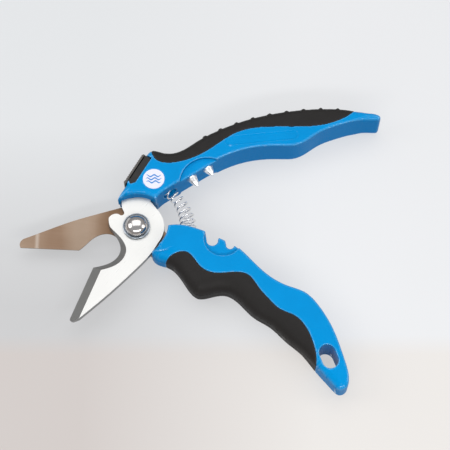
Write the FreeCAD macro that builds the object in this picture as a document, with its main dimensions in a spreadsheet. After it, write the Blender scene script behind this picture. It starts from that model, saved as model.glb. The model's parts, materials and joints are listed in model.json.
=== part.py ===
"""Spring-open bypass snips for fishing, lying flat and held open by their spring.

Frame: origin on the pivot axis in the plane the tool rests on, +Z along the pivot axis,
+X towards the handles.  Millimetres.  The upper lever is the front blade with the upper
handle; the lower lever is the rear blade with the lower handle, and it turns about +Z to close.
"""
import FreeCAD, Part
import Sketcher
import math
import os

from FreeCAD import Placement, Rotation, Vector

doc = FreeCAD.newDocument("fishing_snips")

# ---------------------------------------------------------------- driving dimensions

SIZES = {
    "handle_thick": 14.0,       # both handles, flat on their back faces
    "tail_thick": 10.0,         # lower handle at its tail
    "mid_height": 7.0,          # plane where the two blades slide on each other
    "blade_gap": 0.1,           # oil gap between the blades
    "blade_thick": 2.5,
    "hub_radius": 11.0,         # round part of both blades at the pivot
    "bevel_deep": 2.1,          # ground bevels, measured through the blade
    "straight_bevel": 3.7,      # bevel of the straight edge, measured across the blade's face
    "notch_bevel": 2.0,         # bevel inside the rear blade's round notch
    "tooth_radius": 13.2,       # lock tooth on the rear blade's hub
    "front_clear": 12.9,        # upper handle's hollow around the hub, front side
    "rear_clear": 13.8,         # the same hollow behind the front blade
    "bolt_radius": 3.0,
    "bolt_thread": 2.5,
    "bolt_head": 5.5,
    "bolt_head_thick": 3.5,
    "socket_flats": 4.0,        # hexagon socket, across its flats
    "socket_deep": 1.8,
    "running_gap": 0.05,        # radial clearance of the turning blade on the bolt
    "washer_radius": 6.5,
    "washer_thick": 0.8,
    "collar_radius": 5.45,
    "collar_thick": 1.15,
    "collar_dish": 0.5,         # how deep the dome nut sits in the dished collar
    "dome_radius": 4.5,
    "dome_high": 3.6,
    "spring_path": 20.5,        # radius of the spring's bent axis about the pivot
    "upper_pocket": 2.9,        # radius of the pocket in each handle that holds the spring
    "lower_pocket": 3.7,
    "coil_top": 1.9,
    "coil_bottom": 3.1,
    "wire_radius": 0.32,
    "coil_count": 11,
    "spring_start": 58.5,       # directions of the spring's two ends, seen from the pivot
    "spring_end": -12.0,
    "spike_radius": 2.0,
    "spike_root": 3.0,
    "pin_radius": 1.1,
    "pin_long": 6.6,
    "badge_radius": 4.3,
    "badge_thick": 0.55,
    "lock_travel": 3.0,
    "bar_thick": 2.3,
    "rib_radius": 1.0,
    "rib_pitch": 7.1,
    "rib_margin": 1.4,          # ribs stop this far from the front and back faces
    "core_thick": 8.0,          # hard rib under the soft grips
    "crescent_deep": 1.4,
    "panel_deep": 0.25,
}

sheet = doc.addObject("Spreadsheet::Sheet", "Sizes")
for row, (alias, number) in enumerate(SIZES.items(), start=1):
    sheet.set(f"A{row}", alias)
    sheet.set(f"B{row}", str(number))
    sheet.setAlias(f"B{row}", alias)
doc.recompute()


def size(alias):
    """A driving dimension, read back from the sheet."""
    return float(sheet.get(alias))


# heights that several pieces share, written as sheet formulas
FRONT_BACK = "Sizes.mid_height + Sizes.blade_gap / 2"
REAR_BACK = "Sizes.mid_height - Sizes.blade_gap / 2 - Sizes.blade_thick"
STEEL_GAP = 0.05                # face to face clearance of stacked steel pieces
BEYOND = 20.0                   # how far a cutting tool reaches past what it cuts

front_back = size("mid_height") + size("blade_gap") / 2
front_face = front_back + size("blade_thick")
rear_face = size("mid_height") - size("blade_gap") / 2
rear_back = rear_face - size("blade_thick")


# ---------------------------------------------------------------- drawing helpers

def polar(radius, degrees):
    """Point at a radius and an angle about the pivot."""
    angle = math.radians(degrees)
    return radius * math.cos(angle), radius * math.sin(angle)


def flat(point):
    return Vector(point[0], point[1], 0)


def draw(sketch, start, *moves):
    """Closed outline: each move is ("line", p), ("arc", through, p) or ("curve", p, q, ...)."""
    here = start
    for kind, *points in moves:
        if kind == "line":
            sketch.addGeometry(Part.LineSegment(flat(here), flat(points[0])), False)
        elif kind == "arc":
            sketch.addGeometry(Part.Arc(flat(here), flat(points[0]), flat(points[1])), False)
        else:
            curve = Part.BSplineCurve()
            curve.interpolate([flat(here)] + [flat(p) for p in points])
            sketch.addGeometry(curve, False)
        here = points[-1]
    if math.dist(here, start) > 1e-6:
        sketch.addGeometry(Part.LineSegment(flat(here), flat(start)), False)


def polygon(sketch, *corners):
    draw(sketch, corners[0], *[("line", corner) for corner in corners[1:]])


def circle(sketch, centre, alias):
    """Circle whose radius follows a cell of the sheet."""
    index = sketch.addGeometry(Part.Circle(flat(centre), Vector(0, 0, 1), size(alias)), False)
    number = sketch.addConstraint(Sketcher.Constraint("Radius", index, size(alias)))
    sketch.setExpression(f"Constraints[{number}]", f"Sizes.{alias}")


def new_body(label):
    body = doc.addObject("PartDesign::Body", label)
    body.Label = label
    return body


def new_sketch(body, name, height="0 mm", role="XY_Plane"):
    """Sketch on one of the body's own origin planes, raised by a sheet formula."""
    sketch = body.newObject("Sketcher::SketchObject", name)
    plane = next(item for item in body.Origin.OriginFeatures if item.Role == role)
    sketch.AttachmentSupport = [(plane, "")]
    sketch.MapMode = "FlatFace"
    sketch.setExpression("AttachmentOffset.Base.z", height)
    return sketch


def pad(body, name, sketch, length):
    feature = body.newObject("PartDesign::Pad", name)
    feature.Profile = sketch
    feature.setExpression("Length", length)
    doc.recompute()
    return feature


def pocket(body, name, sketch, depth=None):
    """Pocket downwards from the sketch, or through everything; it must take something away."""
    before = body.Shape.Volume
    feature = body.newObject("PartDesign::Pocket", name)
    feature.Profile = sketch
    if depth is None:
        feature.Type = "ThroughAll"
        feature.Midplane = True
    else:
        feature.setExpression("Length", depth)
    doc.recompute()
    if body.Shape.Volume >= before:
        raise RuntimeError(f"{name} cuts nothing")
    return feature


def revolve(body, name, sketch):
    """Full turn about the sketch's own vertical axis."""
    feature = body.newObject("PartDesign::Revolution", name)
    feature.Profile = sketch
    feature.ReferenceAxis = (sketch, ["V_Axis"])
    feature.Angle = 360
    doc.recompute()
    return feature


def boolean(kind, label, base, tools):
    """Part::Cut or Part::Common of a base with one or several tools."""
    tool = tools[0]
    if len(tools) > 1:
        tool = doc.addObject("Part::MultiFuse", f"{label}_tools")
        tool.Shapes = tools
    feature = doc.addObject(f"Part::{kind}", label)
    feature.Base = base
    feature.Tool = tool
    feature.Label = label
    doc.recompute()
    return feature


# ---------------------------------------------------------------- blades

HUB = size("hub_radius")
UPPER_PINS = [(15.5, 26.2), (42.0, 36.5)]       # pins through each blade's tang
LOWER_PINS = [(20.4, -13.2), (33.0, -18.6)]
FRONT_CORNER = (-16.8, -16.6)       # where the front blade's straight edge meets its round notch
FRONT_EDGE_END = (-25.15, -38.1)
# the front blade's round notch from the corner to the ear, with the width of its bevel at each point
FRONT_NOTCH = [((-12.4, -15.5), 2.5), ((-8.4, -13.3), 2.8), ((-6.3, -9.6), 2.5), ((-6.8, -6.0), 1.3),
               ((-9.4, -1.9), 0.45), ((-10.9, 0.0), 0.4), ((-11.4, 2.2), 0.3)]
REAR_CORNER = (-22.8, -9.0)
REAR_EDGE_END = (-46.1, -7.9)


def level_edge(shape, height, point, kind):
    """Name of the edge of one curve kind that lies in a level face and ends at a point."""
    for number, edge in enumerate(shape.Edges, start=1):
        box = edge.BoundBox
        level = abs(box.ZMin - height) < 1e-4 and abs(box.ZMax - height) < 1e-4
        ends_here = min(math.dist((vertex.X, vertex.Y), point) for vertex in edge.Vertexes) < 0.01
        if level and ends_here and edge.Curve.TypeId == kind:
            return f"Edge{number}"
    raise RuntimeError(f"no {kind} edge ends at {point}")


EDGE_KINDS = {"straight": "Part::GeomLine", "notch": "Part::GeomBSplineCurve"}


def grind(body, plate, height, **edge_ends):
    """Ground bevels of the named edges; a thin land stays on the sliding face."""
    base = plate
    for name, point in edge_ends.items():
        edge = level_edge(base.Shape, height, point, EDGE_KINDS[name])
        feature = body.newObject("PartDesign::Chamfer", f"{body.Label}_{name}_bevel")
        feature.Base = (base, [edge])
        feature.ChamferType = "Two distances"
        feature.setExpression("Size", "Sizes.bevel_deep")
        feature.setExpression("Size2", f"Sizes.{name}_bevel")
        doc.recompute()
        base = feature


def beside(points, widths):
    """Points moved to the right of the line they follow, each by its own width."""
    moved = []
    last = len(points) - 1
    for number, ((x, y), width) in enumerate(zip(points, widths)):
        before, after = points[max(number - 1, 0)], points[min(number + 1, last)]
        length = math.dist(before, after)
        ahead = ((after[0] - before[0]) / length, (after[1] - before[1]) / length)
        moved.append((x + width * ahead[1], y - width * ahead[0]))
    return moved


def notch_wedge():
    """Cutting tool for the front blade's notch bevel, which tapers out at the ear."""
    deep, spare = size("bevel_deep"), 0.4
    before, after = ((-21.2, -17.8), 2.5), ((-11.3, 4.6), 0.05)
    line = [before, (FRONT_CORNER, before[1]), *FRONT_NOTCH, after]
    points = [point for point, width in line]
    body = new_body("notch_wedge")
    sections = []
    for rise in (-deep - spare, spare):
        widths = [width * (rise + deep) / deep for point, width in line]
        sketch = new_sketch(body, f"notch_wedge_section_{len(sections)}", f"{front_face + rise} mm")
        edge = beside(points, widths)
        draw(sketch, edge[0], ("curve", *edge[1:]), ("line", (-16.0, 4.6)), ("line", (-21.2, -12.0)))
        sections.append(sketch)
    loft = body.newObject("PartDesign::AdditiveLoft", "notch_wedge_loft")
    loft.Profile = sections[0]
    loft.Sections = [sections[1]]
    loft.Ruled = True
    doc.recompute()
    return body


def front_blade():
    """The hub has a round ear above the notch, with a small hooked nick behind it."""
    body = new_body("front_blade_ground")
    sketch = new_sketch(body, "front_blade_outline", FRONT_BACK)
    draw(sketch, FRONT_EDGE_END,
         ("line", FRONT_CORNER),
         ("curve", *[point for point, width in FRONT_NOTCH]),
         ("curve", (-11.0, 4.2), (-9.6, 5.4), (-8.0, 5.7), (-6.7, 5.1)),
         ("arc", (-5.5, 5.2), (-5.1, 6.4)),
         ("line", (-6.0, 8.3)),
         ("line", (-6.3, 11.2)),
         ("line", (-4.2, 12.4)),
         ("line", (-1.6, 12.6)),
         ("line", (5.2, 24.4)),
         ("curve", (11.0, 27.0), (24.0, 31.2), (36.0, 36.8), (54.0, 41.2)),
         ("arc", (55.6, 40.2), (55.0, 38.6)),
         ("curve", (38.0, 33.8), (27.0, 30.4), (18.0, 26.0), (11.1, 22.4)),
         ("line", (7.8, 17.0)),
         ("line", (5.2, 12.4)),
         ("line", (5.4, 11.0)),
         ("line", polar(HUB, 42.0)),
         ("arc", polar(HUB, 0.0), polar(HUB, -38.0)),
         ("curve", (5.8, -11.5), (0.1, -18.0), (-9.0, -27.2), (-21.3, -38.4)),
         ("line", (-23.3, -39.2)),
         ("arc", (-24.7, -38.9), FRONT_EDGE_END))
    circle(sketch, (0, 0), "bolt_radius")
    for place in UPPER_PINS:
        circle(sketch, place, "pin_radius")
    plate = pad(body, "front_blade_plate", sketch, "Sizes.blade_thick")
    grind(body, plate, front_face, straight=FRONT_EDGE_END)
    return boolean("Cut", "front_blade", body, [notch_wedge()])


def rear_blade():
    body = new_body("rear_blade")
    sketch = new_sketch(body, "rear_blade_outline", REAR_BACK)
    notch_end = polar(HUB, 249.8)
    tooth = size("tooth_radius")
    draw(sketch, REAR_EDGE_END,
         ("line", REAR_CORNER),
         ("curve", (-20.0, -6.5), (-17.3, -3.9), (-14.0, -2.2), (-11.0, -2.0), (-8.6, -3.0), (-6.6, -5.5),
          (-5.2, -8.2), notch_end),
         ("arc", polar(HUB, 268.0), polar(HUB, -66.0)),
         ("line", (7.2, -11.8)),
         ("curve", (14.0, -12.6), (22.0, -17.0), (35.0, -22.0), (50.0, -32.5)),
         ("arc", (51.8, -32.4), (51.8, -30.8)),
         ("curve", (44.0, -23.4), (30.0, -14.6), (20.0, -9.6), (15.0, -6.2)),
         ("line", (12.9, -2.9)),
         ("line", polar(HUB, -4.0)),
         ("arc", polar(HUB, 30.0), polar(HUB, 67.0)),
         ("line", polar(tooth, 68.0)),
         ("arc", polar(tooth, 71.0), polar(tooth, 74.0)),
         ("line", polar(HUB, 75.0)),
         ("arc", polar(HUB, 92.0), polar(HUB, 107.4)),
         ("curve", (-12.8, 7.6), (-26.0, 3.5), (-40.3, -2.2), (-44.8, -4.0)),
         ("arc", (-46.3, -5.6), REAR_EDGE_END))
    circle(sketch, (0, 0), "bolt_radius")
    sketch.setExpression("Constraints[0]", "Sizes.bolt_radius + Sizes.running_gap")
    for place in LOWER_PINS:
        circle(sketch, place, "pin_radius")
    plate = pad(body, "rear_blade_plate", sketch, "Sizes.blade_thick")
    grind(body, plate, rear_back, straight=REAR_EDGE_END, notch=notch_end)
    return body


# ---------------------------------------------------------------- pivot

NUT_BASE = front_face + size("collar_thick") - size("collar_dish")
THREAD_SHARE = 0.7              # how far the bolt's thread reaches up inside the dome nut


def turned(label, *profile):
    """Turned piece: a half section of (radius, height) corners about the pivot axis."""
    body = new_body(label)
    sketch = new_sketch(body, f"{label}_section", role="XZ_Plane")
    polygon(sketch, *profile)
    revolve(body, f"{label}_turning", sketch)
    return body


def pivot_bolt():
    shank, thread = size("bolt_radius"), size("bolt_thread")
    head, thick = size("bolt_head"), size("bolt_head_thick")
    top = NUT_BASE + size("dome_high") * THREAD_SHARE
    body = turned("pivot_bolt",
                  (0, 0), (head - 0.4, 0), (head, 0.4), (head, thick), (shank, thick), (shank, front_face),
                  (thread, front_face), (thread, top - 0.4), (thread - 0.4, top), (0, top))
    socket = new_sketch(body, "pivot_bolt_socket", "Sizes.socket_deep")
    corner = size("socket_flats") / math.sqrt(3)
    polygon(socket, *[polar(corner, 60 * side) for side in range(6)])
    pocket(body, "pivot_bolt_socket_cut", socket, "Sizes.socket_deep + 1")
    return body


def rear_washer():
    low = size("bolt_head_thick") + STEEL_GAP
    high = low + size("washer_thick")
    hole, rim = size("bolt_radius") + size("running_gap"), size("washer_radius")
    return turned("rear_washer", (hole, low), (rim, low), (rim, high), (hole, high))


def pivot_collar():
    """Dished collar: its rim stands round the foot of the dome nut."""
    low, high = front_face, front_face + size("collar_thick")
    hole, rim, seat = size("bolt_thread"), size("collar_radius"), size("dome_radius") + STEEL_GAP
    return turned("pivot_collar", (hole, low), (rim, low), (rim, high - 0.3), (rim - 0.3, high),
                  (rim - 0.5, high), (seat, NUT_BASE), (hole, NUT_BASE))


def pivot_nut():
    """Dome nut: a short skirt, a quarter-ellipse crown and a threaded blind hole."""
    base = NUT_BASE
    rim, thread = size("dome_radius"), size("bolt_thread")
    skirt = 0.5
    crown = size("dome_high") - skirt
    hole_top = base + size("dome_high") * THREAD_SHARE
    steps = 10
    turns = [math.pi / 2 * step / steps for step in range(steps)]
    dome = [(rim * math.cos(turn), base + skirt + crown * math.sin(turn)) for turn in turns]
    return turned("pivot_nut", (thread, base), (rim, base), *dome, (0, base + skirt + crown),
                  (0, hole_top), (thread, hole_top))


# ---------------------------------------------------------------- slide lock

EDGE_START = (-6.25, 13.75)         # on the upper handle's straight front edge
EDGE_ANGLE = 60.0                   # direction of that edge, and of the slide
BUTTON_LOW, BUTTON_HIGH = 4.6, 18.6     # button's ends, measured along the edge
PLATE_IN = 2.9                      # how far the button's plate reaches in from the edge
BUTTON_PROUD = 1.4                  # how far the serrated head stands out from the edge


def at_edge(along, out):
    """Point given along the upper handle's front edge and out from it."""
    angle = math.radians(EDGE_ANGLE)
    return (EDGE_START[0] + along * math.cos(angle) - out * math.sin(angle),
            EDGE_START[1] + along * math.sin(angle) + out * math.cos(angle))


def prism(label, low, high, *corners):
    """Straight prism between two heights, for cutting tools and small plates."""
    body = new_body(label)
    sketch = new_sketch(body, f"{label}_outline", f"{low} mm")
    polygon(sketch, *corners)
    pad(body, f"{label}_pad", sketch, f"{high - low} mm")
    return body


BAR_LOW = rear_back + 0.1
BAR_IN, BAR_OUT = -6.05, -3.25      # the bar's lug, across the edge
SKIN = 1.05                         # blue skin over the lower end of the slide's channel


def lock_bar():
    body = new_body("lock_bar")
    sketch = new_sketch(body, "lock_bar_outline", f"{BAR_LOW} mm")
    polygon(sketch, at_edge(0.5, BAR_IN), at_edge(BUTTON_HIGH - 3, BAR_IN), at_edge(BUTTON_HIGH - 3, -1.2),
            at_edge(BUTTON_LOW + 2.5, -1.2), at_edge(BUTTON_LOW + 2.5, BAR_OUT), at_edge(0.5, BAR_OUT))
    pad(body, "lock_bar_pad", sketch, "Sizes.bar_thick")
    travel = size("lock_travel")
    hollow = new_sketch(body, "lock_bar_tip", f"{BAR_LOW + size('bar_thick')} mm")
    centre = (travel * math.cos(math.radians(EDGE_ANGLE)), travel * math.sin(math.radians(EDGE_ANGLE)))
    hollow.addGeometry(Part.Circle(flat(centre), Vector(0, 0, 1), HUB + 0.3), False)
    pocket(body, "lock_bar_tip_cut", hollow)
    return body


def lock_button(bar):
    """Serrated head outside the edge, a groove beside it, and a flank plate under the skin."""
    plate_top = size("handle_thick") - SKIN
    neck = prism("button_neck", 3.0, plate_top,
                 at_edge(BUTTON_LOW, 0.2), at_edge(BUTTON_LOW, -1.7),
                 at_edge(BUTTON_LOW + 1.8, -PLATE_IN + 0.1), at_edge(BUTTON_HIGH - 0.8, -PLATE_IN + 0.1),
                 at_edge(BUTTON_HIGH, -PLATE_IN + 0.9), at_edge(BUTTON_HIGH, 0.2))
    head = new_body("button_head")
    sketch = new_sketch(head, "button_head_outline", "1.6 mm")
    low, high, proud = BUTTON_LOW - 1.0, BUTTON_HIGH, BUTTON_PROUD
    notch_deep, pitch = 0.28, 0.9
    count = int((high - low - 1.6) / pitch)
    serrations = []
    for step in range(count):
        along = high - 0.8 - step * pitch
        serrations.append(at_edge(along, proud))
        serrations.append(at_edge(along - pitch / 2, proud - notch_deep))
    polygon(sketch, at_edge(low, 0.2), at_edge(high, 0.2), at_edge(high, proud - 0.5), *serrations,
            at_edge(low + 0.6, proud), at_edge(low, proud - 0.6))
    pad(head, "button_head_pad", sketch, "Sizes.handle_thick - 2.4")
    body = doc.addObject("Part::MultiFuse", "button_blank")
    body.Shapes = [neck, head]
    doc.recompute()
    groove = prism("button_groove", plate_top - 0.9, plate_top + 1,
                   at_edge(BUTTON_LOW + 2.2, 0.35), at_edge(BUTTON_HIGH - 1.0, 0.35),
                   at_edge(BUTTON_HIGH - 1.0, -0.1), at_edge(BUTTON_LOW + 2.2, -0.1))
    return boolean("Cut", "lock_button", body, [bar, groove])


def lock_channel():
    """Room in the upper handle for the button and the bar over their whole travel."""
    travel = size("lock_travel") + 0.2
    top = size("handle_thick") - SKIN + 0.05
    channel = prism("lock_channel", 2.5, top,
                    at_edge(BUTTON_LOW - travel, 3), at_edge(BUTTON_LOW - travel, -1.8),
                    at_edge(BUTTON_LOW + 1.8 - travel, -PLATE_IN), at_edge(BUTTON_HIGH + 0.2, -PLATE_IN),
                    at_edge(BUTTON_HIGH + 0.2, 3))
    window = prism("lock_window", top - 0.1, size("handle_thick") + 1,
                   at_edge(BUTTON_LOW, -1.5), at_edge(BUTTON_LOW + 1.6, -PLATE_IN),
                   at_edge(BUTTON_HIGH + 0.2, -PLATE_IN), at_edge(BUTTON_HIGH + 0.2, 3),
                   at_edge(BUTTON_LOW + 0.9, 3), at_edge(BUTTON_LOW + 0.9, -0.2))
    edge_slot = prism("lock_edge_slot", 1.4, size("handle_thick") + 1,
                      at_edge(BUTTON_LOW - 1.2 - travel, 0.05), at_edge(BUTTON_HIGH + 0.2, 0.05),
                      at_edge(BUTTON_HIGH + 0.2, 3), at_edge(BUTTON_LOW - 1.2 - travel, 3))
    bar_slot = prism("lock_bar_slot", BAR_LOW - 0.1, front_back,
                     at_edge(-4, BAR_IN - 0.2), at_edge(BUTTON_HIGH - 2.8, BAR_IN - 0.2),
                     at_edge(BUTTON_HIGH - 2.8, -1.0), at_edge(-4, -1.0))
    return [channel, window, edge_slot, bar_slot]


def detent_leaf():
    """Bowed leaf under the slide, standing on the channel's floor."""
    body = new_body("detent_leaf")
    sketch = new_sketch(body, "detent_leaf_side", "-0.8 mm", role="XZ_Plane")
    half, rise, thick, floor = 4.0, 0.7, 0.25, 2.2
    draw(sketch, (-half, floor - 0.6), ("arc", (0, floor - 0.6 + rise), (half, floor - 0.6)),
         ("line", (half, floor - 0.6 - thick)),
         ("arc", (0, floor - 0.6 + rise - thick), (-half, floor - 0.6 - thick)))
    pad(body, "detent_leaf_pad", sketch, "1.6 mm")
    middle = at_edge((BUTTON_LOW + BUTTON_HIGH) / 2, -1.8)
    body.Placement = Placement(Vector(middle[0], middle[1], 0), Rotation(Vector(0, 0, 1), EDGE_ANGLE))
    doc.recompute()
    return body


def leaf_seat():
    low, high = (BUTTON_LOW + BUTTON_HIGH) / 2 - 4.2, (BUTTON_LOW + BUTTON_HIGH) / 2 + 4.2
    return prism("leaf_seat", 1.3, 2.6,
                 at_edge(low, -2.8), at_edge(high, -2.8), at_edge(high, -0.8), at_edge(low, -0.8))


# ---------------------------------------------------------------- handles

UPPER_BACK = [(5.2, 32.3), (10.0, 31.6), (16.0, 31.9), (23.0, 36.2), (33.8, 42.4), (47.0, 47.4),
              (61.0, 50.4), (75.0, 51.6), (88.0, 50.6), (93.8, 49.4)]
UPPER_TAIL = [(97.3, 48.7), (98.9, 47.4), (98.6, 46.2), (96.8, 45.8)]
UPPER_INSIDE = [(91.8, 45.8), (87.0, 45.0), (80.2, 42.9), (73.6, 40.0), (68.0, 36.1), (64.0, 34.3),
                (58.0, 34.0), (50.0, 33.7), (41.0, 31.8), (32.2, 27.9), (22.5, 21.8), (12.9, 15.5),
                (8.2, 11.4)]
LOWER_BACK = [(14.4, -0.5), (18.5, -0.6), (24.6, -2.3), (31.0, -4.9), (39.7, -9.6), (46.0, -15.9),
              (53.0, -22.5), (59.8, -26.3), (66.2, -28.9), (71.3, -34.2), (77.0, -44.6), (80.8, -56.0)]
LOWER_TAIL = [(82.2, -63.0), (81.2, -66.6), (78.9, -67.6), (76.0, -65.4)]
LOWER_FINGERS = [(69.8, -58.0), (64.5, -51.6), (58.5, -46.4), (52.5, -40.6), (46.5, -36.8), (41.5, -31.8),
                 (35.5, -27.6), (29.5, -28.3), (24.6, -28.8), (20.5, -25.0), (16.5, -19.0), (12.6, -15.8)]


def handle_form(label, *points):
    """Full outer form of a handle, grip included: one smooth loop, padded."""
    body = new_body(label)
    sketch = new_sketch(body, f"{label}_outline")
    loop = Part.BSplineCurve()
    loop.interpolate(Points=[flat(point) for point in points], PeriodicFlag=True)
    sketch.addGeometry(loop, False)
    pad(body, f"{label}_pad", sketch, "Sizes.handle_thick")
    return body


def upper_form():
    front_edge = [at_edge(along, 0) for along in (0, 5, 10, 15, 19)]
    inside_hub = [(5.0, 6.5), (0.0, 4.8), (-5.2, 6.2), (-7.7, 9.6)]
    return handle_form("upper_form", *front_edge, *UPPER_BACK, *UPPER_TAIL, *UPPER_INSIDE, *inside_hub)


def lower_form():
    inside_hub = [(9.0, -14.6), (6.6, -12.4), (6.4, -8.6), (8.4, -3.8), (11.4, -1.0)]
    return handle_form("lower_form", *LOWER_BACK, *LOWER_TAIL, *LOWER_FINGERS, *inside_hub)


def front_hollow(label, play):
    """Hollow at a handle's front end around the hub."""
    tool = doc.addObject("Part::Cylinder", label)
    tool.setExpression("Radius", f"Sizes.front_clear - {play}")
    tool.Height = 2 * BEYOND
    tool.Placement = Placement(Vector(0, 0, -BEYOND / 2), Rotation())
    return tool


def grip_zone(label, *moves):
    """Everything on the soft side of the line where blue meets black."""
    body = new_body(label)
    sketch = new_sketch(body, f"{label}_outline", "-1 mm")
    draw(sketch, moves[0], *moves[1:])
    pad(body, f"{label}_pad", sketch, "Sizes.handle_thick + 2")
    return body


def upper_zone():
    return grip_zone("upper_zone", (5.4, 33.5),
                     ("curve", (5.9, 30.0), (7.6, 27.6), (10.6, 26.4), (14.5, 26.4), (20.7, 28.0),
                      (27.0, 31.1), (32.6, 35.1), (38.2, 39.0), (44.6, 41.5), (52.7, 42.5), (68.8, 42.7),
                      (75.2, 43.5), (81.7, 45.6), (86.0, 48.0), (89.4, 52.0)),
                     ("line", (89.0, 60.0)), ("line", (5.4, 60.0)))


def lower_zone():
    return grip_zone("lower_zone", (11.0, -17.0),
                     ("curve", (12.6, -14.6), (16.2, -12.6), (20.2, -12.4), (23.0, -15.0), (26.2, -19.0),
                      (30.4, -21.0), (38.8, -20.8), (44.3, -22.0), (48.0, -26.8), (52.2, -32.0),
                      (57.0, -36.4), (61.8, -38.6), (66.0, -43.0), (69.0, -50.0), (70.0, -56.0),
                      (69.4, -60.0)),
                     ("line", (60.0, -75.0)), ("line", (5.0, -75.0)))


def core(label, *corners):
    """Hard rib of the handle that the soft grip is moulded around."""
    body = new_body(label)
    low = (size("handle_thick") - size("core_thick")) / 2
    sketch = new_sketch(body, f"{label}_outline", f"{low} mm")
    polygon(sketch, *corners)
    pad(body, f"{label}_pad", sketch, "Sizes.core_thick")
    return body


def upper_core():
    return core("upper_core", (8.6, 24.0), (8.6, 28.8), (16.6, 29.6), (24.0, 33.4), (35.0, 39.2),
                (48.0, 44.2), (61.0, 47.2), (74.0, 48.4), (84.0, 48.0), (84.0, 44.0), (68.0, 40.0),
                (46.0, 38.0), (32.0, 31.0), (20.0, 25.0))


def lower_core():
    return core("lower_core", (11.0, -11.0), (13.0, -13.0), (19.6, -18.6), (24.8, -25.4), (36.0, -24.6),
                (44.0, -30.2), (53.0, -37.2), (60.0, -43.4), (67.0, -50.4), (71.0, -54.0), (68.0, -40.0),
                (56.0, -32.0), (46.0, -20.0), (30.0, -16.0), (22.0, -10.0))


def tail_wedges():
    """Two wedges that thin the lower handle towards its tail, front and back."""
    thick, tail = size("handle_thick"), size("tail_thick")
    thin = (thick - tail) / 2
    wedges = []
    for label, base, slope in (("tail_front", thick, -thin), ("tail_back", 0.0, thin)):
        body = new_body(label)
        sketch = new_sketch(body, f"{label}_side", role="YZ_Plane")
        far = base + (base - thick / 2)
        polygon(sketch, (-44.0, base), (-75.0, base + slope * 1.15), (-75.0, far), (-44.0, far))
        pad(body, f"{label}_pad", sketch, "100 mm")
        wedges.append(body)
    return wedges


def through_cut(label, *loops):
    """Tool that cuts its closed outlines right through a handle."""
    body = new_body(label)
    sketch = new_sketch(body, f"{label}_outline", "-1 mm")
    for loop in loops:
        draw(sketch, loop[0], *loop[1:])
    pad(body, f"{label}_pad", sketch, "Sizes.handle_thick + 2")
    return body


def spike_notches():
    """Two round-bottomed notches in the lower handle that the spikes close into."""
    first = through_cut("first_notch", (
        (27.0, -1.0), ("line", (28.0, -6.6)), ("arc", (30.3, -9.0), (32.4, -6.6)), ("line", (34.0, -1.0))))
    second = through_cut("second_notch", (
        (34.6, -4.0), ("line", (35.7, -8.6)), ("arc", (37.2, -10.4), (38.8, -8.8)), ("line", (42.0, -4.0))))
    return [first, second]


def crescents(label, centre, radius):
    """Shallow round steps around the spikes or notches, on both faces."""
    tools = []
    deep = size("crescent_deep")
    for side, low in (("front", size("handle_thick") - deep), ("back", -BEYOND + deep)):
        tool = doc.addObject("Part::Cylinder", f"{label}_{side}")
        tool.Radius = radius
        tool.Height = BEYOND
        tool.Placement = Placement(Vector(centre[0], centre[1], low), Rotation())
        tools.append(tool)
    return tools


POCKET_TURN = 17.0              # length of each spring pocket, in degrees about the pivot


def lanyard_hole():
    """Oval hole along the tail."""
    half, reach = 3.1, 1.6
    centre, lean = (74.7, -54.8), math.radians(-69.0)
    along = (reach * math.cos(lean), reach * math.sin(lean))
    side = (-half * math.sin(lean), half * math.cos(lean))

    def spot(forward, across):
        return (centre[0] + forward * along[0] + across * side[0],
                centre[1] + forward * along[1] + across * side[1])

    end = 1 + half / reach
    return through_cut("lanyard_hole", (
        spot(-1, 1), ("line", spot(1, 1)), ("arc", spot(end, 0), spot(1, -1)),
        ("line", spot(-1, -1)), ("arc", spot(-end, 0), spot(-1, 1))))


def spring_pocket(label, start):
    """Bent round pocket for one end of the return spring."""
    tool = doc.addObject("Part::Torus", label)
    tool.setExpression("Radius1", "Sizes.spring_path")
    tool.setExpression("Radius2", f"Sizes.{label}")
    tool.Angle3 = POCKET_TURN
    tool.Placement = Placement(Vector(0, 0, size("mid_height")), Rotation(Vector(0, 0, 1), start))
    return tool


def hub_room():
    """Hollow behind the front blade where the rear blade's hub and lock tooth turn."""
    tool = doc.addObject("Part::Cylinder", "hub_room")
    tool.setExpression("Radius", "Sizes.rear_clear")
    tool.Height = BEYOND + front_back
    tool.Placement = Placement(Vector(0, 0, -BEYOND), Rotation())
    return tool


RIB_COUNT = 9
FIRST_RIB = 23.9                # along the back from the grip's front end


def ribs(shape_points, count, first):
    """Small cross ribs standing out of the soft back, evenly spaced along it."""
    back = Part.BSplineCurve()
    back.interpolate([flat(point) for point in shape_points])
    made = []
    for number in range(count):
        place = back.value(back.parameterAtDistance(first + number * size("rib_pitch"), back.FirstParameter))
        rib = doc.addObject("Part::Cylinder", f"rib_{number}")
        rib.setExpression("Radius", "Sizes.rib_radius")
        rib.setExpression("Height", "Sizes.handle_thick - 2 * Sizes.rib_margin")
        rib.Placement = Placement(Vector(place.x, place.y, size("rib_margin")), Rotation())
        made.append(rib)
    return made


# ---------------------------------------------------------------- small pieces

SPIKES = [((21.5, 22.0), 5.3), ((27.9, 26.2), 4.5)]    # foot of each cone, and its length
SPIKE_ANGLE = -57.0
SPIKE_LEVEL = 9.8               # height of the spikes' axes, nearer the front face


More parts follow.
